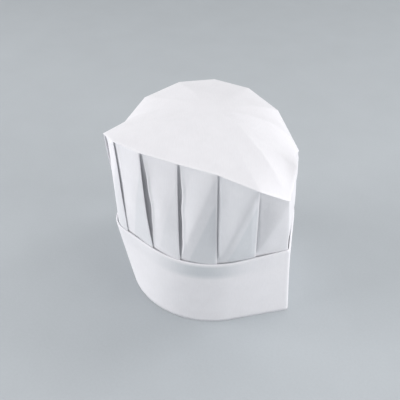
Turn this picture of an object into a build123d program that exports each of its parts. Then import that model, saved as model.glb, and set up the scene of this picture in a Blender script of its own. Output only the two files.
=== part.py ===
from build123d import *
import math
import os

import numpy as np

# A disposable chef's hat of white non-woven sheet: a brow band folded from one strip, a low crown
# wall pleated from a second strip, and a domed top sheet. Front is -Y and all sizes are millimetres.

# Sheet and pleats
ply = 0.5
pleats = 16
turn = 360 / pleats
tuck_depth = 12.0

# Brow band: a paper ring that was stored flat, so it keeps a corner at each side crease. Its top is
# drawn out at the left front, under the crown's corner. A corner is (bearing, reach, half rounding).
band_height = 83.0
crease_bearing = -16.2
far_crease_bearing = 163.8
base_radius = 88.5
base_corners = ((crease_bearing, 109.0, 0.0), (far_crease_bearing, 92.0, 0.0))
top_radius = 87.4
top_corners = ((crease_bearing, 101.0, 0.0), (far_crease_bearing, 92.0, 0.0), (-140.0, 105.0, 8.0))
band_steps = 144
lap_bearing = 90.0
lap_width = 22.0
foot_depth = 16.0

# Crown rim: straight across the front, arched behind, slouching forward of the band, with dips
rim_middle = 13.0
rim_front = -91.0
rim_depth = 142.0
rim_half_width = 86.0
rim_squareness = 2.7
rim_start_bearing = 167.5
rim_height = 201.0
corner_dips = {0: 4.0, 5: -3.0, 6: 21.0, 8: 14.0, 9: 30.0, 10: 5.0, 11: 3.0, 14: 3.0, 15: 14.0}
dip_share_beside = 0.3
corner_nudges = {
    0: (2.5, 1.0),
    1: (6.0, 6.0),
    6: (0.5, 1.0),
    7: (-4.0, 0.0),
    8: (-7.0, -4.0),
    9: (4.0, -9.0),
    10: (0.0, -5.0),
    14: (-5.0, 0.0),
}
curve_steps = 720
lip_height = 6.0

# Domed top sheet
crown_centre = (13.0, -21.0)
crown_height = 212.0
dome_rings = (1.0, 0.8, 0.55, 0.28)


def outline_reach(bearing, radius, corners):
    """Distance from the band's axis to a circle with two tangents to each corner. A corner with a
    half rounding is the average over the bearings that far to each side."""
    reach = radius
    for at, corner, rounding in corners:
        away = np.abs((bearing + np.linspace(-rounding, rounding, 9) - at + 180) % 360 - 180)
        tangent = math.degrees(math.acos(radius / corner))
        straight = radius / np.cos(np.radians(np.maximum(tangent - away, 0)))
        reach = max(reach, float(straight.mean()))
    return reach


def band_reach(bearing, height):
    """Distance from the band's axis to its outside, straight from the base outline to the top one."""
    base = outline_reach(bearing, base_radius, base_corners)
    top = outline_reach(bearing, top_radius, top_corners)
    return base + (top - base) * height / band_height


def level_point(bearing, reach, height):
    """The point at a bearing from +X, a distance from the band's axis, and a height."""
    along = math.radians(bearing)
    return np.array([reach * math.cos(along), reach * math.sin(along), height])


def rim_outline():
    """The rim in plan, as a closed run of points: half a superellipse about the middle of the front
    edge, and the straight front edge."""
    around = np.radians(np.linspace(rim_start_bearing, rim_start_bearing + 360, curve_steps + 1))
    wide, deep = np.cos(around), np.maximum(np.sin(around), 0)
    power = rim_squareness
    reach = (np.abs(wide / rim_half_width) ** power + (deep / rim_depth) ** power) ** (-1 / power)
    reach = np.where(np.sin(around) < 0, np.minimum(reach, rim_half_width / np.abs(wide)), reach)
    return np.stack([rim_middle + reach * wide, rim_front + reach * deep], axis=1)


def rim_corners():
    """One point of the rim for each pleat, at equal steps along the outline, with the dips and nudges.
    A dip also draws down the corners beside it."""
    outline = rim_outline()
    steps = np.linalg.norm(np.diff(outline, axis=0), axis=1)
    run = np.concatenate([[0], np.cumsum(steps)])
    at = np.arange(pleats) * run[-1] / pleats
    corners = []
    for index in range(pleats):
        beside = corner_dips.get((index - 1) % pleats, 0.0) + corner_dips.get((index + 1) % pleats, 0.0)
        drop = corner_dips.get(index, 0.0) + dip_share_beside * beside
        nudge = corner_nudges.get(index, (0.0, 0.0))
        x = np.interp(at[index], run, outline[:, 0]) + nudge[0]
        y = np.interp(at[index], run, outline[:, 1]) + nudge[1]
        corners.append(np.array([x, y, rim_height - drop]))
    return corners


def wall_feet():
    """Where each pleat line meets the band's top, just inside the band's two plies."""
    feet = []
    for index in range(pleats):
        bearing = crease_bearing + (index - 6) * turn
        feet.append(level_point(bearing, band_reach(bearing, band_height) - 5 * ply, band_height))
    return feet


def outward(feet, corners, index):
    """The level direction out of the wall at a pleat line, between those of its two ends."""
    after = (index + 1) % pleats
    chord = feet[after] - feet[index - 1] + corners[after] - corners[index - 1]
    side = np.array([chord[1], -chord[0], 0.0])
    return side / np.linalg.norm(side)


def solid_of(triangles):
    """A closed solid with flat faces, from the three corners of each face."""
    faces = [Face(Wire.make_polygon([tuple(corner) for corner in triangle])) for triangle in triangles]
    return Solid(Shell(faces))


def skin(lower, upper, section_faces, inner_sides=()):
    """A prism-like solid between two sections with the same points. A twisted side is split along
    one diagonal, and inner_sides, which run the other way, along the same one as the outer sides."""
    triangles = []
    count = len(lower)
    for here in range(count):
        there = (here + 1) % count
        if here in inner_sides:
            triangles.append((lower[here], lower[there], upper[here]))
            triangles.append((lower[there], upper[there], upper[here]))
        else:
            triangles.append((lower[here], lower[there], upper[there]))
            triangles.append((lower[here], upper[there], upper[here]))
    for a, b, c in section_faces:
        triangles.append((lower[c], lower[b], lower[a]))
        triangles.append((upper[a], upper[b], upper[c]))
    return solid_of(triangles)


def closed_ring(stations):
    """A solid ring through a closed run of sections, each a list of points in the same order. Upright
    sides are all split from low here to high there, so that nested rings meet face to face."""
    triangles = []
    for here, there in zip(stations, stations[1:] + stations[:1]):
        for side in range(len(here)):
            after = (side + 1) % len(here)
            if here[side][2] > here[after][2]:
                triangles.append((here[side], there[side], here[after]))
                triangles.append((there[side], there[after], here[after]))
            else:
                triangles.append((here[side], there[side], there[after]))
                triangles.append((here[side], there[after], here[after]))
    return solid_of(triangles)


def band_bearings():
    """The bearings of the band's corners, one of them on the side crease."""
    return [crease_bearing + step * 360 / band_steps for step in range(band_steps)]


def band_ring(section):
    """A section, given as (set-in, height) corners, carried round the band's outline."""
    stations = []
    for bearing in band_bearings():
        stations.append([level_point(bearing, band_reach(bearing, z) - inset, z) for inset, z in section])
    return closed_ring(stations)


def brow_band():
    """The band's outer ply, turned in over the top edge of the lining."""
    return band_ring(
        [
            (0, 0),
            (0, band_height),
            (2 * ply, band_height),
            (2 * ply, band_height - ply),
            (ply, band_height - ply),
            (ply, 0),
        ]
    )


def band_lining():
    """The band's inner ply, which is the same strip folded down inside."""
    return band_ring([(ply, 0), (ply, band_height - ply), (2 * ply, band_height - ply), (2 * ply, 0)])


def crown_foot():
    """The crown wall's gathered lower edge, glued to the inside of the lining."""
    top = band_height - ply
    return band_ring(
        [
            (2 * ply, top - foot_depth),
            (2 * ply, top),
            (5 * ply, top),
            (5 * ply, top - foot_depth),
        ]
    )


def band_end_lap():
    """The end of the band's strip, glued over its own start at the back."""
    half = math.degrees(lap_width / 2 / base_radius)
    inside = [bearing for bearing in band_bearings() if abs(bearing - lap_bearing) < half]
    ends = []
    for height in (0, band_height):
        outer = [level_point(bearing, band_reach(bearing, height) + ply, height) for bearing in inside]
        inner = [level_point(bearing, band_reach(bearing, height), height) for bearing in inside]
        ends.append(outer + inner[::-1])
    lower, upper = ends
    faces = []
    last = len(lower) - 1
    for step in range(len(inside) - 1):
        faces.append((step, step + 1, last - step - 1))
        faces.append((step, last - step - 1, last - step))
    return skin(lower, upper, faces)


def pleat_panel(index, feet, corners):
    """One face of the pleated wall: it starts under the panel before it, ends proud at its own
    fold, and carries the two hidden plies of the tuck behind that folded edge."""
    after = (index + 1) % pleats
    out_start = outward(feet, corners, index)
    out_end = outward(feet, corners, after)
    ends = []
    for line in (feet, corners):
        start, end = line[index], line[after]
        share = 1 - tuck_depth / np.linalg.norm(end - start)
        tuck = start + share * (end - start)
        out_tuck = out_start + share * (out_end - out_start)
        slip = 2 * ply * share
        ends.append(
            [
                start,
                start + ply * out_start,
                tuck + (slip + ply) * out_tuck,
                end + 3 * ply * out_end,
                end,
                tuck + (slip - 2 * ply) * out_tuck,
                tuck + slip * out_tuck,
            ]
        )
    section_faces = ((0, 1, 2), (0, 2, 6), (2, 3, 6), (6, 3, 4), (6, 4, 5))
    return skin(ends[0], ends[1], section_faces, inner_sides=(4, 6))


def crown_top(feet, corners):
    """The top sheet: rings of points that rise from the rim to the crown's centre."""
    rise = np.array([0, 0, ply])
    centre = np.array([*crown_centre, crown_height - ply])
    unders = []
    for share in dome_rings:
        row = []
        for index, corner in enumerate(corners):
            edge = corner + 3 * ply * outward(feet, corners, index)
            point = centre + share * (edge - centre)
            point[2] = edge[2] * share**2 + centre[2] * (1 - share**2)
            row.append(point)
        unders.append(row)
    uppers = [[point + rise for point in row] for row in unders]
    triangles = []
    for index in range(pleats):
        after = (index + 1) % pleats
        for ring in range(len(dome_rings) - 1):
            triangles.append((uppers[ring][index], uppers[ring][after], uppers[ring + 1][after]))
            triangles.append((uppers[ring][index], uppers[ring + 1][after], uppers[ring + 1][index]))
            triangles.append((unders[ring + 1][after], unders[ring][after], unders[ring][index]))
            triangles.append((unders[ring + 1][index], unders[ring + 1][after], unders[ring][index]))
        triangles.append((uppers[-1][index], uppers[-1][after], centre + rise))
        triangles.append((centre, unders[-1][after], unders[-1][index]))
        triangles.append((unders[0][index], unders[0][after], uppers[0][after]))
        triangles.append((unders[0][index], uppers[0][after], uppers[0][index]))
    return solid_of(triangles)


def rim_seam(feet, corners):
    """The top sheet's turned-down edge, sealed to the inside of the wall."""
    near, far = -2.4 * ply, -3.4 * ply
    stations = []
    for index, corner in enumerate(corners):
        out = outward(feet, corners, index)
        line = feet[index] - corner
        hem = corner + line * lip_height / np.linalg.norm(line)
        stations.append([corner + near * out, hem + near * out, hem + far * out, corner + far * out])
    return closed_ring(stations)


def build_parts():
    """Every node of the hat by name, about the band's axis."""
    corners = rim_corners()
    feet = wall_feet()
    parts = {
        "brow_band": brow_band(),
        "band_lining": band_lining(),
        "band_end_lap": band_end_lap(),
        "crown_foot": crown_foot(),
        "crown_top": crown_top(feet, corners),
        "rim_seam": rim_seam(feet, corners),
    }
    for index in range(pleats):
        parts[f"pleat_panel_{index + 1:02d}"] = pleat_panel(index, feet, corners)
    return parts


def to_origin(shapes):
    """The move that puts the middle of the whole hat's box over the origin, and its base at z = 0."""
    boxes = [shape.bounding_box() for shape in shapes]
    low = [min(tuple(box.min)[axis] for box in boxes) for axis in range(3)]
    high = [max(tuple(box.max)[axis] for box in boxes) for axis in range(3)]
    return Location((-(low[0] + high[0]) / 2, -(low[1] + high[1]) / 2, -low[2]))


hat = build_parts()
placed = to_origin(hat.values())
os.makedirs("parts", exist_ok=True)
for name, shape in hat.items():
    export_step(placed * shape, f"parts/{name}.step")
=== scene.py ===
"""A disposable chef's toque of white non-woven sheet: a folded brow band, a knife-pleated crown wall
and a domed top sheet. Lengths are millimetres about the band's axis until a mesh is made, in metres."""
import math

import bpy
import numpy as np
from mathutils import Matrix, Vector


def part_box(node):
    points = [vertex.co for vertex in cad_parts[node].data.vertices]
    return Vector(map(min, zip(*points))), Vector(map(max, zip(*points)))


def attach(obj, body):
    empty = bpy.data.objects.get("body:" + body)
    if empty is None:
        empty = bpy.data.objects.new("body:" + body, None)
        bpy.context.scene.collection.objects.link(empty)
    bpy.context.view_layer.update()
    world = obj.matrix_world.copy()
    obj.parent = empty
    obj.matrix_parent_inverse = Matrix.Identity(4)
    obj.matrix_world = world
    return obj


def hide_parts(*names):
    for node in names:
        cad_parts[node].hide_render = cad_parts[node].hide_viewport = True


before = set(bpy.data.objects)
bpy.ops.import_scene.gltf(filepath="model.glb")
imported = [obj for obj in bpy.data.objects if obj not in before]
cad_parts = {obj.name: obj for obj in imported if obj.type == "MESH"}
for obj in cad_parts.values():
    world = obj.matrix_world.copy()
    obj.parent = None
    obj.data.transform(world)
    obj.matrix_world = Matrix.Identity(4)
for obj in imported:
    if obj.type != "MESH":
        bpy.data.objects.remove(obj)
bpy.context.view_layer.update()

MM = 0.001

# Sheet and pleats. PLY_GAP is between the middles of two plies, PITCH is a face's width along the
# band, and TUCK_SHARE is how far a tuck goes back behind its fold, as a share of PITCH
SHEET = 0.4
PLY_GAP = 0.65
PLEATS = 16
TURN = 360 / PLEATS
PITCH = 34.5
TUCK_SHARE = 0.33

# Brow band. A corner is (bearing, reach, half rounding)
BAND_HEIGHT = 83.0
CREASE_BEARING = -16.2
FAR_CREASE_BEARING = 163.8
CREASE_REACH = 109.0
BASE_RADIUS = 88.5
BASE_CORNERS = ((CREASE_BEARING, CREASE_REACH, 1.0), (FAR_CREASE_BEARING, 92.0, 1.0))
TOP_RADIUS = 87.4
TOP_CORNERS = ((CREASE_BEARING, 101.0, 1.0), (FAR_CREASE_BEARING, 92.0, 1.0), (-140.0, 105.0, 8.0))
FOLD_RADIUS = 0.85
INNER_PLY_FOOT = 1.5
LAP_BEARING, LAP_WIDTH = 90.0, 22.0
LAP_LOOSE = 0.35
FOOT_DEPTH = 16.0
WALL_HEIGHT = 118.0
LINES_ASIDE = {3: -1.5, 5: 3.0}

# Painted shade, as a darkening of the colour where plies lie behind a sheet: each face's tuck, set
# face by face, the plies behind a whole face, and the wall's glued foot, mostly at one bearing near
# the camera's. Last, the colour that they multiply it by
TUCK_SHADE = {2: 0.2, 3: 0.58, 4: 0.68, 5: 0.0}
TUCK_TOP = {3: 0.78, 4: 0.92}
TUCK_FOOT_SHARE = 0.75
FACE_SHADE = {3: 0.12, 4: 0.28}
FOOT_SHADE, FOOT_BEARING, FOOT_SPREAD = 0.08, -70.0, 21.0
PLY_SHADE_COLOUR = (0.76, 0.80, 0.81)

# Crown rim and top sheet
RIM_MIDDLE = 13.0
RIM_FRONT = -91.0
RIM_DEPTH = 142.0
RIM_HALF_WIDTH = 86.0
RIM_SQUARENESS = 2.7
RIM_START_BEARING = 167.5
RIM_HEIGHT = 201.0
CORNER_DIPS = {0: 4.0, 5: -3.0, 6: 21.0, 8: 14.0, 9: 30.0, 10: 5.0, 11: 3.0, 14: 3.0, 15: 14.0}
DIP_SHARE_BESIDE = 0.3
CORNER_NUDGES = {
    0: (2.5, 1.0),
    1: (6.0, 6.0),
    6: (0.5, 1.0),
    7: (-4.0, 0.0),
    8: (-7.0, -4.0),
    9: (4.0, -9.0),
    10: (0.0, -5.0),
    14: (-5.0, 0.0),
}
CROWN_CENTRE = np.array([13.0, -21.0])
CROWN_RISE = 17.5
HEM = 7.0
HEM_INSET = 1.3
EDGE_RADIUS = 0.5

# Soft folds in the top sheet: the rim's corner, the rise, and the start beside the crown's centre
FOLD_RUNS = ((6, 2.5, (-8.0, 10.0)), (1, 0.5, (-20.0, -4.0)), (13, 0.7, (-16.0, 12.0)))

# Studio. The camera is in millimetres about the band's axis. A light is a name, a place and a side in
# metres, a power in watts and a colour
CAMERA_PLACE = (176.0, -387.0, 450.5)
CAMERA_TARGET = (-56.0, 88.5, 0.0)
CAMERA_LENS = 47.9
FLOOR_COLOUR = (0.485, 0.520, 0.542)
SURROUND = (0.985, 0.99, 1.0)
SURROUND_STRENGTH = 0.43
LIGHTS = (
    ("left_softbox", (-1.40, -0.76, 0.50), 1.1, 22.0, (1.0, 0.98, 0.995)),
    ("right_softbox", (1.54, -0.06, 0.40), 1.2, 17.0, (1.0, 0.98, 0.995)),
    ("key_softbox", (0.90, 0.62, 1.45), 0.45, 4.2, (1.0, 0.985, 0.995)),
    ("top_softbox", (0.50, 0.7, 1.85), 1.8, 10.0, (1.0, 0.99, 1.0)),
)

# How each pleat stands open, by pleat line: its folded edge out, the next face's start in, how high up
# that groove is widest, and its width. Then how proud each face's diagonal crease stands, by face. The
# PLAIN values are for the lines and faces that aren't named
FOLD_LIFT = {0: 1.6, 1: 0.0, 2: 2.2, 3: 1.6, 4: 0.5, 5: 0.5, 9: 2.0, 10: 3.0, 11: 2.0, 12: 2.5, 14: 2.0}
GROOVE_DEPTH = {0: 1.2, 1: 0.5, 2: 3.3, 3: 2.9, 4: 0.3, 5: 0.2, 9: 3.0, 10: 4.0, 12: 4.0, 13: 2.5}
GROOVE_PEAK = {1: 2.4, 2: 1.5, 3: 0.95}
GROOVE_WIDTH = 4.4
DIAGONAL_RISE = {1: 0.6, 2: 1.2, 3: 2.6, 4: 2.8, 5: 1.4, 8: 1.5, 10: 1.8, 12: 1.4}
PLAIN_LIFT, PLAIN_DEPTH, PLAIN_PEAK, PLAIN_RISE = 0.8, 1.2, 1.25, 0.5
PLAIN_TUCK_SHADE, PLAIN_TUCK_TOP = 0.4, 0.9

band_low, band_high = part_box("brow_band")
AXIS = np.array(
    [
        band_high.x - CREASE_REACH * math.cos(math.radians(CREASE_BEARING)) * MM,
        (band_low.y + band_high.y) / 2,
        0.0,
    ]
)


# ---------------------------------------------------------------- shape helpers


def smooth(share):
    """0 below 0, 1 above 1 and 3t^2 - 2t^3 between."""
    share = np.clip(share, 0, 1)
    return share * share * (3 - 2 * share)


def grid_piece(name, points, flat, around=False, tip=None, marks=None, behind=None):
    """A mesh from a grid of points, rows by columns, in millimetres about the band's axis.
    flat holds each point's place on the uncut sheet, in metres, and becomes the UV map. A grid that
    goes around joins its last column to its first, whose place on the sheet is in the extra last
    column of flat. A tip closes the last row with a fan. marks is how strongly each point takes
    the painted highlight of a fold, and behind is how strongly it takes the painted shade of the
    plies behind it."""
    rows, columns = points.shape[:2]
    index = np.arange(rows * columns).reshape(rows, columns)
    if around:
        index = np.concatenate([index, index[:, :1]], axis=1)
    corners = [index[:-1, :-1], index[:-1, 1:], index[1:, 1:], index[1:, :-1]]
    faces = np.stack(corners, axis=-1).reshape(-1, 4).tolist()
    flat_corners = [flat[:-1, :-1], flat[:-1, 1:], flat[1:, 1:], flat[1:, :-1]]
    corner_flat = np.stack(flat_corners, axis=2).reshape(-1, 2)
    places = points.reshape(-1, 3)
    if tip is not None:
        tips = np.full(index.shape[1] - 1, len(places))
        faces += np.stack([index[-1, :-1], index[-1, 1:], tips], axis=-1).tolist()
        fan_flat = np.stack([flat[-1, :-1], flat[-1, 1:], np.zeros_like(flat[-1, 1:])], axis=1)
        corner_flat = np.concatenate([corner_flat, fan_flat.reshape(-1, 2)])
        places = np.concatenate([places, tip[None, :]])
    mesh = bpy.data.meshes.new(name)
    mesh.from_pydata((places * MM + AXIS).tolist(), [], faces)
    layer = mesh.uv_layers.new(name="flat_sheet")
    layer.data.foreach_set("uv", corner_flat.reshape(-1).astype(np.float32))
    # The first attribute is a painted highlight along the folds, the second painted shade where plies lie
    # behind
    for title, values in (("fold_highlight", marks), ("painted_ply_shade", behind)):
        values = np.zeros(len(places)) if values is None else np.resize(values, len(places))
        attribute = mesh.attributes.new(title, "FLOAT", "POINT")
        attribute.data.foreach_set("value", values.astype(np.float32))
    mesh.polygons.foreach_set("use_smooth", np.ones(len(faces), bool))
    piece = bpy.data.objects.new(name, mesh)
    bpy.context.scene.collection.objects.link(piece)
    return piece


def thicken(piece, thickness=SHEET, outward=0.0):
    """The sheet's thickness, as a Solidify modifier. outward 0 puts it half each way."""
    solid = piece.modifiers.new("sheet_thickness", "SOLIDIFY")
    solid.thickness = thickness * MM
    solid.offset = outward
    solid.use_even_offset = True
    solid.thickness_clamp = 2.0
    solid.use_rim = True


# ---------------------------------------------------------------- outlines


def outline_reach(bearing, radius, corners):
    """Distance from the band's axis to a circle with two tangents to each corner. A corner is the
    average over the bearings of its half rounding to each side."""
    reach = np.full_like(bearing, radius)
    for at, corner, rounding in corners:
        turned = bearing[..., None] + np.linspace(-rounding, rounding, 9) - at
        away = np.abs((turned + 180) % 360 - 180)
        tangent = math.degrees(math.acos(radius / corner))
        straight = radius / np.cos(np.radians(np.maximum(tangent - away, 0)))
        reach = np.maximum(reach, straight.mean(axis=-1))
    return reach


BAND_WAVES = ((0.30, 3, 40.0), (0.21, 7, 0.0))


def band_reach(bearing, height):
    """Distance from the band's axis to its outside: straight from the base outline to the top one,
    plus the soft waves of a sheet that was handled. A wave has a rise, a number of turns round the
    head and a bearing to start from, and dies out at the band's two edges."""
    base = outline_reach(bearing, BASE_RADIUS, BASE_CORNERS)
    top = outline_reach(bearing, TOP_RADIUS, TOP_CORNERS)
    share = np.clip(height / BAND_HEIGHT, 0, 1)
    waves = sum(rise * np.sin(np.radians(turns * bearing + start)) for rise, turns, start in BAND_WAVES)
    return base + (top - base) * share + np.sin(np.pi * share) * waves


def level_ring(bearing, reach):
    """Plan points at bearings from +X and distances from the band's axis."""
    return np.stack([reach * np.cos(np.radians(bearing)), reach * np.sin(np.radians(bearing))], axis=-1)


def rim_corners():
    """One corner for each pleat, at equal steps along the rim: half a superellipse about the middle
    of the front edge, and the straight front edge. Some corners dip, and share it with neighbours."""
    around = np.radians(np.linspace(RIM_START_BEARING, RIM_START_BEARING + 360, 721))
    wide, deep = np.cos(around), np.maximum(np.sin(around), 0)
    power = RIM_SQUARENESS
    reach = (np.abs(wide / RIM_HALF_WIDTH) ** power + (deep / RIM_DEPTH) ** power) ** (-1 / power)
    reach = np.where(np.sin(around) < 0, np.minimum(reach, RIM_HALF_WIDTH / np.abs(wide)), reach)
    outline = np.stack([RIM_MIDDLE + reach * wide, RIM_FRONT + reach * deep], axis=1)
    run = np.concatenate([[0], np.cumsum(np.linalg.norm(np.diff(outline, axis=0), axis=1))])
    at = np.arange(PLEATS) * run[-1] / PLEATS
    dips = np.array([CORNER_DIPS.get(corner, 0.0) for corner in range(PLEATS)])
    height = RIM_HEIGHT - dips - DIP_SHARE_BESIDE * (np.roll(dips, 1) + np.roll(dips, -1))
    nudges = np.array([CORNER_NUDGES.get(corner, (0.0, 0.0)) for corner in range(PLEATS)])
    plan = np.stack([np.interp(at, run, outline[:, 0]), np.interp(at, run, outline[:, 1])], axis=1) + nudges
    return np.concatenate([plan, height[:, None]], axis=1)


CORNERS = rim_corners()


CREASE_LINE = 6


def line_bearing(station):
    """The band bearing of a place along the wall. Whole stations are the pleat lines, of which a few
    stand a little aside from their equal steps. CREASE_LINE stands at the band's sharp crease."""
    aside = np.array([LINES_ASIDE.get(line, 0.0) for line in range(PLEATS + 1)])
    moved = np.interp(station % PLEATS, np.arange(PLEATS + 1), aside)
    return CREASE_BEARING + (station - CREASE_LINE) * TURN + moved


def foot_of(station):
    """Where the wall leaves the band's top, inside its two plies."""
    bearing = line_bearing(station)
    reach = band_reach(bearing, BAND_HEIGHT) - 2 * FOLD_RADIUS - SHEET - 2 * PLY_GAP
    plan = level_ring(bearing, reach)
    return np.concatenate([plan, np.full(plan.shape[:-1] + (1,), BAND_HEIGHT)], axis=-1)


def rim_of(station):
    """A place on the rim: straight lines between the corners."""
    before = np.floor(station).astype(int)
    share = (station - before)[..., None]
    return CORNERS[before % PLEATS] * (1 - share) + CORNERS[(before + 1) % PLEATS] * share


def line_outward():
    """The level direction out of the wall at each pleat line, between those of its two ends."""
    feet = foot_of(np.arange(PLEATS, dtype=float))
    both = feet + CORNERS
    chord = np.roll(both, -1, axis=0) - np.roll(both, 1, axis=0)
    side = np.stack([chord[:, 1], -chord[:, 0], np.zeros(PLEATS)], axis=1)
    return side / np.linalg.norm(side, axis=1, keepdims=True)


OUTWARD = line_outward()


def outward_of(station):
    """The level outward direction at any place along the wall."""
    before = np.floor(station).astype(int)
    share = (station - before)[..., None]
    side = OUTWARD[before % PLEATS] * (1 - share) + OUTWARD[(before + 1) % PLEATS] * share
    return side / np.linalg.norm(side, axis=-1, keepdims=True)


# ---------------------------------------------------------------- the brow band


BAND_COLUMNS = 576
OUTER_ROWS, OVER_ROWS, INNER_ROWS = 26, 10, 22
# Painted highlight along the band's top fold, and a weaker one at its crease
TOP_HIGHLIGHT_SPREAD = 0.9
CREASE_HIGHLIGHT, CREASE_HIGHLIGHT_SPREAD = 0.7, 0.5
# Where the painted shade of the wall's foot starts under the fold and fades past the foot
FOOT_TOP, FOOT_TOP_BLUR = 1.5, 2.0
FOOT_PAST, FOOT_PAST_BLUR = 4.0, 5.0


def brow_band():
    """The band's strip, folded along its top edge and carried round the band's outline. Across the
    strip: up the outer ply, over a half circle, and down the inner ply. It has a painted highlight
    along its fold and crease, and painted shade where the wall's foot lies behind it, from just under
    the fold to a little past its end, strongest at one bearing."""
    bearing = CREASE_BEARING + np.arange(BAND_COLUMNS + 1) * 360 / BAND_COLUMNS
    rise = np.linspace(0, BAND_HEIGHT - FOLD_RADIUS, OUTER_ROWS)
    turn = np.linspace(0, np.pi, OVER_ROWS)[1:-1]
    fall = np.linspace(BAND_HEIGHT - FOLD_RADIUS, INNER_PLY_FOOT, INNER_ROWS)
    inset = np.concatenate([0 * rise, FOLD_RADIUS * (1 - np.cos(turn)), 0 * fall + 2 * FOLD_RADIUS])
    height = np.concatenate([rise, BAND_HEIGHT - FOLD_RADIUS + FOLD_RADIUS * np.sin(turn), fall])
    across = np.concatenate([[0], np.cumsum(np.hypot(np.diff(inset), np.diff(height)))])
    reach = band_reach(bearing[None, :], height[:, None]) - inset[:, None] - SHEET / 2
    plan = level_ring(np.broadcast_to(bearing, reach.shape), reach)
    points = np.concatenate([plan, np.broadcast_to(height[:, None, None], reach.shape + (1,))], axis=-1)
    step = np.linalg.norm(np.diff(plan[0], axis=0), axis=1)
    run = np.concatenate([[0], np.cumsum(step)])
    flat = np.stack(np.broadcast_arrays(run[None, :] * MM, across[:, None] * MM), axis=-1)
    # Painted highlight: lighter along the top fold and at the crease
    folded = np.exp(-(((height - BAND_HEIGHT) / TOP_HIGHLIGHT_SPREAD) ** 2))[:, None]
    from_crease = np.minimum(bearing - CREASE_BEARING, 360 - bearing + CREASE_BEARING)
    creased = np.exp(-((from_crease / CREASE_HIGHLIGHT_SPREAD) ** 2))[None, :]
    marks = np.maximum(folded, CREASE_HIGHLIGHT * creased)
    # Painted shade where the wall's foot lies behind the band, full near FOOT_BEARING and faint elsewhere
    below = BAND_HEIGHT - height
    foot = smooth((below - FOOT_TOP) / FOOT_TOP_BLUR)
    foot = foot * smooth((FOOT_DEPTH + FOOT_PAST - below) / FOOT_PAST_BLUR)
    front = np.exp(-((((bearing - FOOT_BEARING + 180) % 360 - 180) / FOOT_SPREAD) ** 2))
    behind = foot[:, None] * (FOOT_SHADE + (1 - FOOT_SHADE) * front[None, :])
    piece = grid_piece(
        "brow_band_strip", points[:, :-1], flat, around=True, marks=marks[:, :-1], behind=behind[:, :-1]
    )
    thicken(piece)
    return piece


LAP_COLUMNS, LAP_ROWS = 24, 30
LAP_FOOT, LAP_BELOW_TOP = 0.3, 0.6
LAP_STAND = 0.6


def band_end_lap():
    """The end of the band's strip, glued over its own start: a patch of the band's outline, just over
    half a sheet further out, with its free edge a little loose."""
    half = math.degrees(LAP_WIDTH / 2 / BASE_RADIUS)
    bearing = np.linspace(LAP_BEARING - half, LAP_BEARING + half, LAP_COLUMNS)
    height = np.linspace(LAP_FOOT, BAND_HEIGHT - LAP_BELOW_TOP, LAP_ROWS)
    loose = LAP_LOOSE * smooth((bearing - LAP_BEARING) / half)
    reach = band_reach(bearing[None, :], height[:, None]) + LAP_STAND * SHEET + loose[None, :]
    plan = level_ring(np.broadcast_to(bearing, reach.shape), reach)
    points = np.concatenate([plan, np.broadcast_to(height[:, None, None], reach.shape + (1,))], axis=-1)
    run = np.radians(bearing - bearing[0]) * BASE_RADIUS
    flat = np.stack(np.broadcast_arrays(run[None, :] * MM, height[:, None] * MM), axis=-1)
    piece = grid_piece("band_end_lap_glued", points, flat)
    thicken(piece)
    return piece


# ---------------------------------------------------------------- the crown wall


def soft_least(a, b, rounding=0.12):
    """The smaller of two shares, rounded where they cross."""
    return (a + b - np.sqrt((a - b) ** 2 + rounding**2)) / 2 + rounding / 2


FOLD_FADE = 8
DIAGONAL_SHARE = 0.8


def wall_surface(station, share):
    """The wall without its pleats, at a place along it and a share of the way up from the band.
    A twisted panel isn't a smooth saddle: paper folds softly along its diagonal, from the panel's
    lower left to its upper right, so x * v is drawn towards the smaller of x and v. The fold fades
    out over an eighth of the panel at each edge."""
    before = np.floor(station)
    x = station - before
    foot, rim = foot_of(station), rim_of(station)
    plain = foot * (1 - share)[..., None] + rim * share[..., None]
    lower = foot_of(before + 1) - foot_of(before)
    upper = rim_of(before + 1) - rim_of(before)
    edge = smooth(np.minimum(x, 1 - x) * FOLD_FADE) * smooth(np.minimum(share, 1 - share) * FOLD_FADE)
    fold = (soft_least(x, share) - x * share) * edge * DIAGONAL_SHARE
    return plain + fold[..., None] * (upper - lower)


def opening_profile(share, peak=1.0):
    """How open a pleat stands at a share of the wall's height: shut at both ends, and widest where
    the share to the power of peak is a half."""
    return np.sin(np.pi * np.clip(share, 0, 1) ** peak) ** 0.8


RAGGED = ((0.16, 9.0, 2.1), (0.09, 23.0, 1.3))
SHUT_WIDTH = 0.35
GROOVE_WALL = (0.45, 0.75)
LIP_RISE, LIP_FULL_DEPTH, LIP_PLACE, LIP_SPREAD = 0.9, 3.0, 1.25, 0.05
LIFT_PEAK = 1.1
FACE_BOW = 1.1
TENT_REACH, TENT_ACROSS, TENT_UP = 0.55, 0.6, 0.5
FACE_WAVE, WAVE_ACROSS, WAVE_UP = 0.22, 5.0, 7.0


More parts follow.
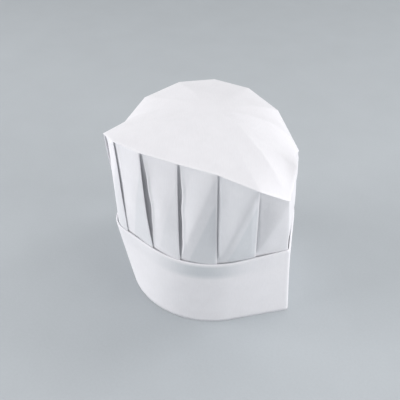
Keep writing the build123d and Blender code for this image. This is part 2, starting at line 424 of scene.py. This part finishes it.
def pleat_face(pleat, x, v):
    """How far a face stands off the plain wall. It starts in a groove under the face before it,
    rises out of the groove over a low lip, bows a little, and ends proud at its own folded edge. Its
    diagonal crease is a tent of its own height along x = v, and wide waves keep the sheet from looking
    pressed. The groove's width wanders up the wall: a share of it, turns over the height, and a turn
    from pleat to pleat."""
    line = (pleat + 1) % PLEATS
    opening = opening_profile(v, GROOVE_PEAK.get(pleat, PLAIN_PEAK))
    depth = GROOVE_DEPTH.get(pleat, PLAIN_DEPTH) * opening
    ragged = 1 + sum(share * np.sin(turns * v + shift * pleat) for share, turns, shift in RAGGED)
    width = GROOVE_WIDTH / PITCH * ragged * (SHUT_WIDTH + (1 - SHUT_WIDTH) * opening)
    out_of_groove = smooth((x - GROOVE_WALL[0] * width) / (GROOVE_WALL[1] * width))
    lip = LIP_RISE * np.minimum(depth, LIP_FULL_DEPTH) / LIP_FULL_DEPTH
    lip = lip * np.exp(-(((x - LIP_PLACE * width) / LIP_SPREAD) ** 2))
    lift = FOLD_LIFT.get(line, PLAIN_LIFT) * opening_profile(v, LIFT_PEAK) * x**3
    bow = FACE_BOW * np.sin(np.pi * x) * np.sin(np.pi * v)
    tent = DIAGONAL_RISE.get(pleat, PLAIN_RISE) * np.clip(1 - np.abs(x - v) / TENT_REACH, 0, 1)
    tent = tent * np.sin(np.pi * x) ** TENT_ACROSS * np.sin(np.pi * v) ** TENT_UP
    wave = FACE_WAVE * np.sin(WAVE_ACROSS * x + WAVE_UP * v + pleat) * np.sin(np.pi * v)
    return 2 * PLY_GAP * smooth(x) - depth * (1 - out_of_groove) + lip + lift + bow + tent + wave


GROOVE_ZONE = 0.32
UNDER_COLUMNS, GROOVE_COLUMNS, FACE_COLUMNS, TURN_COLUMNS, BACK_COLUMNS = 5, 16, 18, 6, 5
FOOT_ROWS, WALL_ROWS = 6, 52
# Width of the painted highlight along each folded edge
FOLD_HIGHLIGHT_SPREAD = 0.018
# The painted shade of each tuck: its edge's place at the top, its blur, and how far it keeps from the fold
TUCK_EDGE_TOP, TUCK_EDGE_BLUR, FOLD_CLEAR = 1.04, 0.1, 0.04


def pleated_wall():
    """One strip, carried round the hat as knife pleats. Along the strip each pleat runs over its
    face to a proud folded edge, back under itself by the tuck, and on as the next face, with a half
    circle at each of its two folds. pleat_face gives the distance from the plain wall. Each face gets
    painted shade in a triangle over the tuck behind it: widest at the foot and gone at TUCK_TOP of the
    height, with a strength set face by face."""
    under = np.linspace(-TUCK_SHARE, 0, UNDER_COLUMNS)[:-1]
    groove = np.linspace(0, GROOVE_ZONE, GROOVE_COLUMNS)[:-1]
    x = np.concatenate([under, groove, np.linspace(GROOVE_ZONE, 1, FACE_COLUMNS)])
    foot = np.linspace(-FOOT_DEPTH / WALL_HEIGHT, 0, FOOT_ROWS)[:-1]
    share = np.concatenate([foot, np.linspace(0, 1, WALL_ROWS)])
    v = np.clip(share, 0, 1)[:, None]
    turn = np.linspace(0, np.pi, TURN_COLUMNS)[1:-1]
    back = np.linspace(0, 1, BACK_COLUMNS)
    bend = PLY_GAP / 2
    rounded = np.sin(turn)[None, :] * bend / PITCH
    stations, offsets, steps, marks, behind = [], [], [], [], []
    for pleat in range(PLEATS):
        faces = pleat_face(pleat, np.clip(x, 0, 1)[None, :], v)
        top = faces[:, -1:]
        end = pleat_face((pleat + 1) % PLEATS, 0.0, v) + PLY_GAP
        stations += [pleat + x, pleat + 1 + rounded]
        stations += [pleat + 1 - TUCK_SHARE * back, pleat + 1 - TUCK_SHARE - rounded]
        offsets += [faces, top - bend + bend * np.cos(turn)]
        offsets += [(top - PLY_GAP) * (1 - back) + end * back, end - bend + bend * np.cos(turn)]
        steps += [np.diff(x, prepend=x[0]) * PITCH, 0 * turn + bend * turn[0]]
        steps += [np.diff(back, prepend=0) * TUCK_SHARE * PITCH, 0 * turn + bend * turn[0]]
        # A painted highlight along each face's folded edge and over its fold
        marks += [np.exp(-(((x - 1) / FOLD_HIGHLIGHT_SPREAD) ** 2)), 0 * turn + 1.0, 0 * back, 0 * turn]
        # Painted shade: a triangle over the tuck behind the face and an even backing, each set face by face
        narrowing = np.clip(1 - v / TUCK_TOP.get(pleat, PLAIN_TUCK_TOP), 0, 1)
        tuck_edge = TUCK_EDGE_TOP - (TUCK_EDGE_TOP - 1 + TUCK_FOOT_SHARE) * narrowing
        shows = TUCK_SHADE.get(pleat, PLAIN_TUCK_SHADE) * smooth((x - tuck_edge) / TUCK_EDGE_BLUR + 0.5)
        shows = np.maximum(shows, FACE_SHADE.get(pleat, 0.0)) * smooth((1.0 - x) / FOLD_CLEAR)
        behind += [shows, np.zeros((len(v), 2 * len(turn) + len(back)))]
    station = np.concatenate([np.broadcast_to(part, (len(v), part.shape[-1])) for part in stations], axis=1)
    offset = np.concatenate([np.broadcast_to(part, (len(v), part.shape[-1])) for part in offsets], axis=1)
    run = np.cumsum(np.concatenate(steps + [[bend]]))
    points = wall_surface(station, np.broadcast_to(v, station.shape))
    points = points + offset[..., None] * outward_of(station)
    points[..., 2] += np.minimum(share, 0)[:, None] * WALL_HEIGHT
    up = share[:, None] * WALL_HEIGHT * MM
    flat = np.stack(np.broadcast_arrays(run[None, :] * MM, up), axis=-1)
    folded = np.broadcast_to(np.concatenate(marks)[None, :], station.shape)
    shown = np.concatenate(behind, axis=1)
    piece = grid_piece("pleated_wall_strip", points, flat, around=True, marks=folded, behind=shown)
    thicken(piece)
    return piece


# ---------------------------------------------------------------- the top sheet


def evened(ring_values, columns):
    """A closed ring of values, each averaged with its neighbours by a bell curve of this width."""
    bell = np.exp(-2 * (np.pi * np.fft.rfftfreq(len(ring_values)) * columns) ** 2)
    return np.fft.irfft(np.fft.rfft(ring_values) * bell, n=len(ring_values))


SIDE_COLUMNS = 18
FACE_RINGS = 56
EVENED_OVER = 1.1
CREASE_POWER = 4
FOLDS_FADE = 5
ROLL_START, ROLL_RINGS = 0.15, 5
HEM_TOP, HEM_RINGS = 1.2, 6
# Painted highlight along the rim's rolled edge
RIM_HIGHLIGHT = 0.8


def top_sheet():
    """The top sheet in rings from the hem inside the wall, over a small round edge at the rim, to the
    crown's centre. In plan each ring is the rim drawn in towards the centre. The height is a dome
    that the corners' own heights pull up and down, by a power of the way out so that their creases
    show at the rim and even out towards the middle, plus soft folds."""
    station = np.arange(PLEATS * SIDE_COLUMNS) / SIDE_COLUMNS
    out = outward_of(station)
    rim = rim_of(station)
    edge = rim + (2 * PLY_GAP + SHEET / 2) * out
    ring = np.concatenate([[0.004], np.linspace(0.02, 0.995, FACE_RINGS)])[:, None]
    middle = CORNERS[:, 2].mean() + CROWN_RISE
    plan = CROWN_CENTRE + ring[..., None] * (edge[:, :2] - CROWN_CENTRE)
    level = evened(edge[:, 2], EVENED_OVER * SIDE_COLUMNS)
    level = level + (edge[:, 2] - level) * ring**CREASE_POWER
    height = middle + (level - middle) * ring**2 + EDGE_RADIUS
    height = height + sheet_folds(plan) * smooth((1 - ring) * FOLDS_FADE)
    face = np.concatenate([plan, height[..., None]], axis=-1)
    turn = np.linspace(ROLL_START, 1, ROLL_RINGS)[:, None, None] * np.pi / 2
    rolled = edge + EDGE_RADIUS * (out * np.sin(turn) + np.array([0, 0, 1]) * np.cos(turn))
    down = foot_of(station) - rim
    down /= np.linalg.norm(down, axis=1, keepdims=True)
    depth = np.linspace(HEM_TOP, HEM, HEM_RINGS)[:, None, None]
    hem = rim - HEM_INSET * out + depth * down
    points = np.concatenate([face, rolled, hem])
    run = np.cumsum(np.linalg.norm(np.diff(points, axis=0), axis=2), axis=0)
    run = np.concatenate([np.zeros_like(run[:1]), run])
    around = station / PLEATS * 2 * np.pi
    flat = np.stack([run * np.cos(around), run * np.sin(around)], axis=-1) * MM
    flat = np.concatenate([flat, flat[:, :1]], axis=1)
    # Painted highlight over the rim's rolled edge
    marks = np.zeros(points.shape[:2])
    marks[len(face) - 1 : len(face) + ROLL_RINGS] = RIM_HIGHLIGHT
    tip = points[0].mean(axis=0)
    piece = grid_piece(
        "top_sheet_disc", points[::-1], flat[::-1], around=True, tip=tip, marks=marks[::-1]
    )
    thicken(piece)
    return piece


RIDGE_REACH = 9
HOLLOW_SHARE, HOLLOW_PLACE, HOLLOW_SPREAD = 0.5, 24, 13
FADE_IN, FADE_OUT = 2.5, 3


def sheet_folds(plan):
    """Soft straight folds from near the crown's centre towards corners of the rim: a narrow ridge with
    a wider hollow on each side, fading out at both ends."""
    total = 0.0
    for corner, rise, start in FOLD_RUNS:
        begin = CROWN_CENTRE + np.array(start)
        run = CORNERS[corner, :2] - begin
        length = np.linalg.norm(run)
        reach = (plan - begin) @ run / length**2
        aside = (plan - begin) @ np.array([-run[1], run[0]]) / length
        fade = smooth(reach * FADE_IN) * smooth((1 - reach) * FADE_OUT)
        ridge = np.exp(-np.abs(aside) / RIDGE_REACH)
        hollow = HOLLOW_SHARE * np.exp(-(((np.abs(aside) - HOLLOW_PLACE) / HOLLOW_SPREAD) ** 2))
        total = total + rise * fade * (ridge - hollow)
    return total


# ---------------------------------------------------------------- finishes


def new_group(name, inputs, outputs):
    """An empty shader node group with named number inputs and outputs."""
    group = bpy.data.node_groups.new(name, "ShaderNodeTree")
    for title, kind, value in inputs:
        socket = group.interface.new_socket(title, in_out="INPUT", socket_type=kind)
        if value is not None:
            socket.default_value = value
    for title, kind in outputs:
        group.interface.new_socket(title, in_out="OUTPUT", socket_type=kind)
    return group, group.nodes.new("NodeGroupInput"), group.nodes.new("NodeGroupOutput")


def calculate(group, operation, first, second=None, third=None):
    """A Math node, with each input a socket or a number."""
    node = group.nodes.new("ShaderNodeMath")
    node.operation = operation
    for slot, value in enumerate((first, second, third)):
        if isinstance(value, bpy.types.NodeSocket):
            group.links.new(value, node.inputs[slot])
        elif value is not None:
            node.inputs[slot].default_value = value
    return node.outputs[0]


OCTAVE_SHARE = 0.6


def noise(group, vector, scale, detail, stretch=None):
    """A Noise texture, centred on 0. stretch is a scale along X, Y and Z, and a turn about Z."""
    if stretch is not None:
        mapping = group.nodes.new("ShaderNodeMapping")
        group.links.new(vector, mapping.inputs["Vector"])
        mapping.inputs["Scale"].default_value = stretch[:3]
        mapping.inputs["Rotation"].default_value = (0, 0, stretch[3])
        vector = mapping.outputs["Vector"]
    texture = group.nodes.new("ShaderNodeTexNoise")
    group.links.new(vector, texture.inputs["Vector"])
    texture.inputs["Scale"].default_value = scale
    texture.inputs["Detail"].default_value = detail
    texture.inputs["Roughness"].default_value = OCTAVE_SHARE
    return calculate(group, "SUBTRACT", texture.outputs["Fac"], 0.5)


FIBRES_PER_METRE = 900.0
FIBRE_THINNESS = 0.14
FIBRE_DIRECTIONS = (8, 67, 128)
CLOUDS_PER_METRE = 60.0


def fibre_web():
    """Height and shade of a web of fine fibres: three noises, each drawn out in its own direction,
    and a cloudy one for where the web is thicker."""
    group, given, result = new_group(
        "fibre_web",
        [("Vector", "NodeSocketVector", None), ("Fibres per metre", "NodeSocketFloat", FIBRES_PER_METRE)],
        [("Height", "NodeSocketFloat"), ("Cloud", "NodeSocketFloat")],
    )
    vector = given.outputs["Vector"]
    scaled = group.nodes.new("ShaderNodeVectorMath")
    scaled.operation = "SCALE"
    group.links.new(vector, scaled.inputs[0])
    group.links.new(given.outputs["Fibres per metre"], scaled.inputs["Scale"])
    base = scaled.outputs[0]
    stretches = [(1.0, FIBRE_THINNESS, 1.0, math.radians(turn)) for turn in FIBRE_DIRECTIONS]
    strands = [noise(group, base, 1.0, 3.0, stretch) for stretch in stretches]
    total = calculate(group, "ADD", calculate(group, "ADD", strands[0], strands[1]), strands[2])
    group.links.new(total, result.inputs["Height"])
    cloud = noise(group, vector, CLOUDS_PER_METRE, 3.0)
    group.links.new(cloud, result.inputs["Cloud"])
    return group


BOND_PITCH = 0.0016


def bond_points():
    """A fine diamond grid of heat-bonded dots: the product of two crossed sine waves, each cut off
    below 0."""
    group, given, result = new_group(
        "bond_points",
        [("Vector", "NodeSocketVector", None), ("Pitch", "NodeSocketFloat", BOND_PITCH)],
        [("Dot", "NodeSocketFloat")],
    )
    parts = group.nodes.new("ShaderNodeSeparateXYZ")
    group.links.new(given.outputs["Vector"], parts.inputs[0])
    turned = []
    for sign in ("ADD", "SUBTRACT"):
        diagonal = calculate(group, sign, parts.outputs["X"], parts.outputs["Y"])
        whole = calculate(group, "MULTIPLY", diagonal, 2 * math.pi)
        phase = calculate(group, "DIVIDE", whole, given.outputs["Pitch"])
        turned.append(calculate(group, "MAXIMUM", calculate(group, "SINE", phase), 0.0))
    group.links.new(calculate(group, "MULTIPLY", turned[0], turned[1]), result.inputs["Dot"])
    return group


DENTS_PER_METRE, PUCKERS_PER_METRE, PUCKER_SHARE = 22.0, 75.0, 0.3


def handling_marks():
    """Broad, faint dents and puckers left by folding and handling: low noise, two sizes."""
    group, given, result = new_group(
        "handling_marks",
        [("Vector", "NodeSocketVector", None)],
        [("Height", "NodeSocketFloat")],
    )
    wide = noise(group, given.outputs["Vector"], DENTS_PER_METRE, 1.0)
    fine = noise(group, given.outputs["Vector"], PUCKERS_PER_METRE, 2.0)
    puckers = calculate(group, "MULTIPLY", fine, PUCKER_SHARE)
    group.links.new(calculate(group, "ADD", wide, puckers), result.inputs["Height"])
    return group


GROUPS = {"web": fibre_web(), "bonds": bond_points(), "marks": handling_marks()}


SHEET_COLOUR = (0.86, 0.86, 0.885)
SHEET_ROUGHNESS = 0.85
WEB_HEIGHT, BOND_HEIGHT = 0.02, 0.03
THIN_SHADE = 0.93
# The fold weight lifts the colour along folds: a painted highlight
CLOUD_SHADE, BASE_SHADE, FIBRE_SHADE, FOLD_HIGHLIGHT = 1.0, 0.45, 0.7, 0.6


def sheet_finish(name, marks):
    """Matte non-woven sheet: the colour drifts from THIN_SHADE of itself to itself with the thickness
    of the web and its fibres, and with the painted highlight along folds, and is darker where painted
    shade marks plies behind. The height is the fibre web, less the bonded dots, plus handling marks
    of the given height, all in mm."""
    material = bpy.data.materials.new(name)
    material.use_nodes = True
    tree = material.node_tree
    shader = tree.nodes["Principled BSDF"]
    shader.inputs["Roughness"].default_value = SHEET_ROUGHNESS
    shader.inputs["Specular IOR Level"].default_value = 0.25
    shader.inputs["Sheen Weight"].default_value = 0.12
    shader.inputs["Sheen Roughness"].default_value = 0.6
    flat = tree.nodes.new("ShaderNodeUVMap")
    flat.uv_map = "flat_sheet"
    place = tree.nodes.new("ShaderNodeTexCoord")
    used = {}
    on_sheet, on_hat = flat.outputs["UV"], place.outputs["Object"]
    for key, source in (("web", on_sheet), ("bonds", on_sheet), ("marks", on_hat)):
        node = tree.nodes.new("ShaderNodeGroup")
        node.node_tree = GROUPS[key]
        tree.links.new(source, node.inputs["Vector"])
        used[key] = node
    height = calculate(tree, "MULTIPLY", used["web"].outputs["Height"], WEB_HEIGHT)
    height = calculate(tree, "MULTIPLY_ADD", used["bonds"].outputs["Dot"], -BOND_HEIGHT, height)
    height = calculate(tree, "MULTIPLY_ADD", used["marks"].outputs["Height"], marks, height)
    bump = tree.nodes.new("ShaderNodeBump")
    bump.inputs["Strength"].default_value = 1.0
    bump.inputs["Distance"].default_value = MM
    tree.links.new(height, bump.inputs["Height"])
    tree.links.new(bump.outputs["Normal"], shader.inputs["Normal"])
    ramp = tree.nodes.new("ShaderNodeMix")
    ramp.data_type = "RGBA"
    ramp.inputs["A"].default_value = (*[c * THIN_SHADE for c in SHEET_COLOUR], 1)
    ramp.inputs["B"].default_value = (*SHEET_COLOUR, 1)
    # Painted highlight: the fold attribute lifts the colour to its full shade along folds
    folded = tree.nodes.new("ShaderNodeAttribute")
    folded.attribute_name = "fold_highlight"
    shade = calculate(tree, "MULTIPLY_ADD", used["web"].outputs["Cloud"], CLOUD_SHADE, BASE_SHADE)
    shade = calculate(tree, "MULTIPLY_ADD", used["web"].outputs["Height"], FIBRE_SHADE, shade)
    shade = calculate(tree, "ADD", shade, calculate(tree, "MULTIPLY", folded.outputs["Fac"], FOLD_HIGHLIGHT))
    clamp = tree.nodes.new("ShaderNodeClamp")
    tree.links.new(shade, clamp.inputs["Value"])
    tree.links.new(clamp.outputs["Result"], ramp.inputs["Factor"])
    # Painted shade: the colour is multiplied towards a grey where plies lie behind
    plies = tree.nodes.new("ShaderNodeAttribute")
    plies.attribute_name = "painted_ply_shade"
    ply_shaded = tree.nodes.new("ShaderNodeMix")
    ply_shaded.data_type = "RGBA"
    ply_shaded.blend_type = "MULTIPLY"
    tree.links.new(plies.outputs["Fac"], ply_shaded.inputs["Factor"])
    tree.links.new(ramp.outputs["Result"], ply_shaded.inputs["A"])
    ply_shaded.inputs["B"].default_value = (*PLY_SHADE_COLOUR, 1)
    tree.links.new(ply_shaded.outputs["Result"], shader.inputs["Base Color"])
    return material


# ---------------------------------------------------------------- stage, light and camera


FLOOR_ROUGHNESS = 0.9
FLOOR_GRAIN, FLOOR_CLOUDS = 420.0, 14.0
GRAIN_SHARE = 1.1
MOTTLE = 0.04


def floor_finish():
    """Plain studio paper, mottled by a few hundredths of its colour, finely and in wide clouds."""
    material = bpy.data.materials.new("studio_paper")
    material.use_nodes = True
    tree = material.node_tree
    shader = tree.nodes["Principled BSDF"]
    shader.inputs["Roughness"].default_value = FLOOR_ROUGHNESS
    shader.inputs["Specular IOR Level"].default_value = 0.1
    place = tree.nodes.new("ShaderNodeTexCoord")
    fine = noise(tree, place.outputs["Object"], FLOOR_GRAIN, 2.0)
    wide = noise(tree, place.outputs["Object"], FLOOR_CLOUDS, 3.0)
    share = calculate(tree, "ADD", calculate(tree, "MULTIPLY_ADD", fine, GRAIN_SHARE, 0.5), wide)
    mottle = tree.nodes.new("ShaderNodeMix")
    mottle.data_type = "RGBA"
    tree.links.new(share, mottle.inputs["Factor"])
    mottle.inputs["A"].default_value = (*[c * (1 - MOTTLE) for c in FLOOR_COLOUR], 1)
    mottle.inputs["B"].default_value = (*[c * (1 + MOTTLE) for c in FLOOR_COLOUR], 1)
    tree.links.new(mottle.outputs["Result"], shader.inputs["Base Color"])
    return material


FLOOR_REACH = 6.0


def studio_floor():
    """A wide plain floor at z = 0, reaching this far to each side, in metres."""
    mesh = bpy.data.meshes.new("studio_floor")
    far = FLOOR_REACH
    mesh.from_pydata([(-far, -far, 0), (far, -far, 0), (far, far, 0), (-far, far, 0)], [], [(0, 1, 2, 3)])
    floor = bpy.data.objects.new("studio_floor", mesh)
    bpy.context.scene.collection.objects.link(floor)
    mesh.materials.append(floor_finish())


def aim(thing, place, target):
    """Puts a camera or lamp at a place and turns its -Z towards a target."""
    thing.location = place
    thing.rotation_euler = (Vector(target) - Vector(place)).to_track_quat("-Z", "Y").to_euler()


def softbox(name, place, target, size, power, colour):
    """A square soft light."""
    lamp = bpy.data.lights.new(name, "AREA")
    lamp.shape = "SQUARE"
    lamp.size = size
    lamp.energy = power
    lamp.color = colour
    box = bpy.data.objects.new(name, lamp)
    bpy.context.scene.collection.objects.link(box)
    aim(box, place, target)


def studio_light():
    """Large soft lights low at the left and the right, and two high behind the hat, in a pale surround,
    so that the faces towards the camera are the darkest. They aim at the hat's middle."""
    middle = (0, 0, 0.1)
    for name, place, size, power, colour in LIGHTS:
        softbox(name, place, middle, size, power, colour)
    world = bpy.data.worlds.new("pale_studio")
    bpy.context.scene.world = world
    world.use_nodes = True
    world.node_tree.nodes["Background"].inputs["Color"].default_value = (*SURROUND, 1)
    world.node_tree.nodes["Background"].inputs["Strength"].default_value = SURROUND_STRENGTH


def studio_camera():
    """The camera, above the hat's front right, level from side to side. The view transform is plain,
    so that white sheet stays white."""
    camera = bpy.data.cameras.new("studio_camera")
    camera.lens = CAMERA_LENS
    camera.sensor_width = 36
    camera.clip_end = 50
    eye = bpy.data.objects.new("studio_camera", camera)
    bpy.context.scene.collection.objects.link(eye)
    place = np.array(CAMERA_PLACE) * MM + AXIS
    target = np.array(CAMERA_TARGET) * MM + AXIS
    aim(eye, place, target)
    bpy.context.scene.camera = eye
    bpy.context.scene.view_settings.view_transform = "Standard"


studio_camera()
studio_light()
studio_floor()

brow = brow_band()
lap = band_end_lap()
wall = pleated_wall()
top = top_sheet()

MARK_HEIGHTS = {"band_sheet": 0.5, "wall_sheet": 0.5, "top_sheet": 0.4}
finishes = {slot: sheet_finish(f"{slot}_nonwoven", marks) for slot, marks in MARK_HEIGHTS.items()}
wall_nodes = [f"pleat_panel_{pleat + 1:02d}" for pleat in range(PLEATS)] + ["crown_foot"]
for piece, slot, nodes in (
    (brow, "band_sheet", ["brow_band", "band_lining"]),
    (lap, "band_sheet", ["band_end_lap"]),
    (wall, "wall_sheet", wall_nodes),
    (top, "top_sheet", ["crown_top", "rim_seam"]),
):
    piece.data.materials.append(finishes[slot])
    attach(piece, "root")
    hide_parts(*nodes)
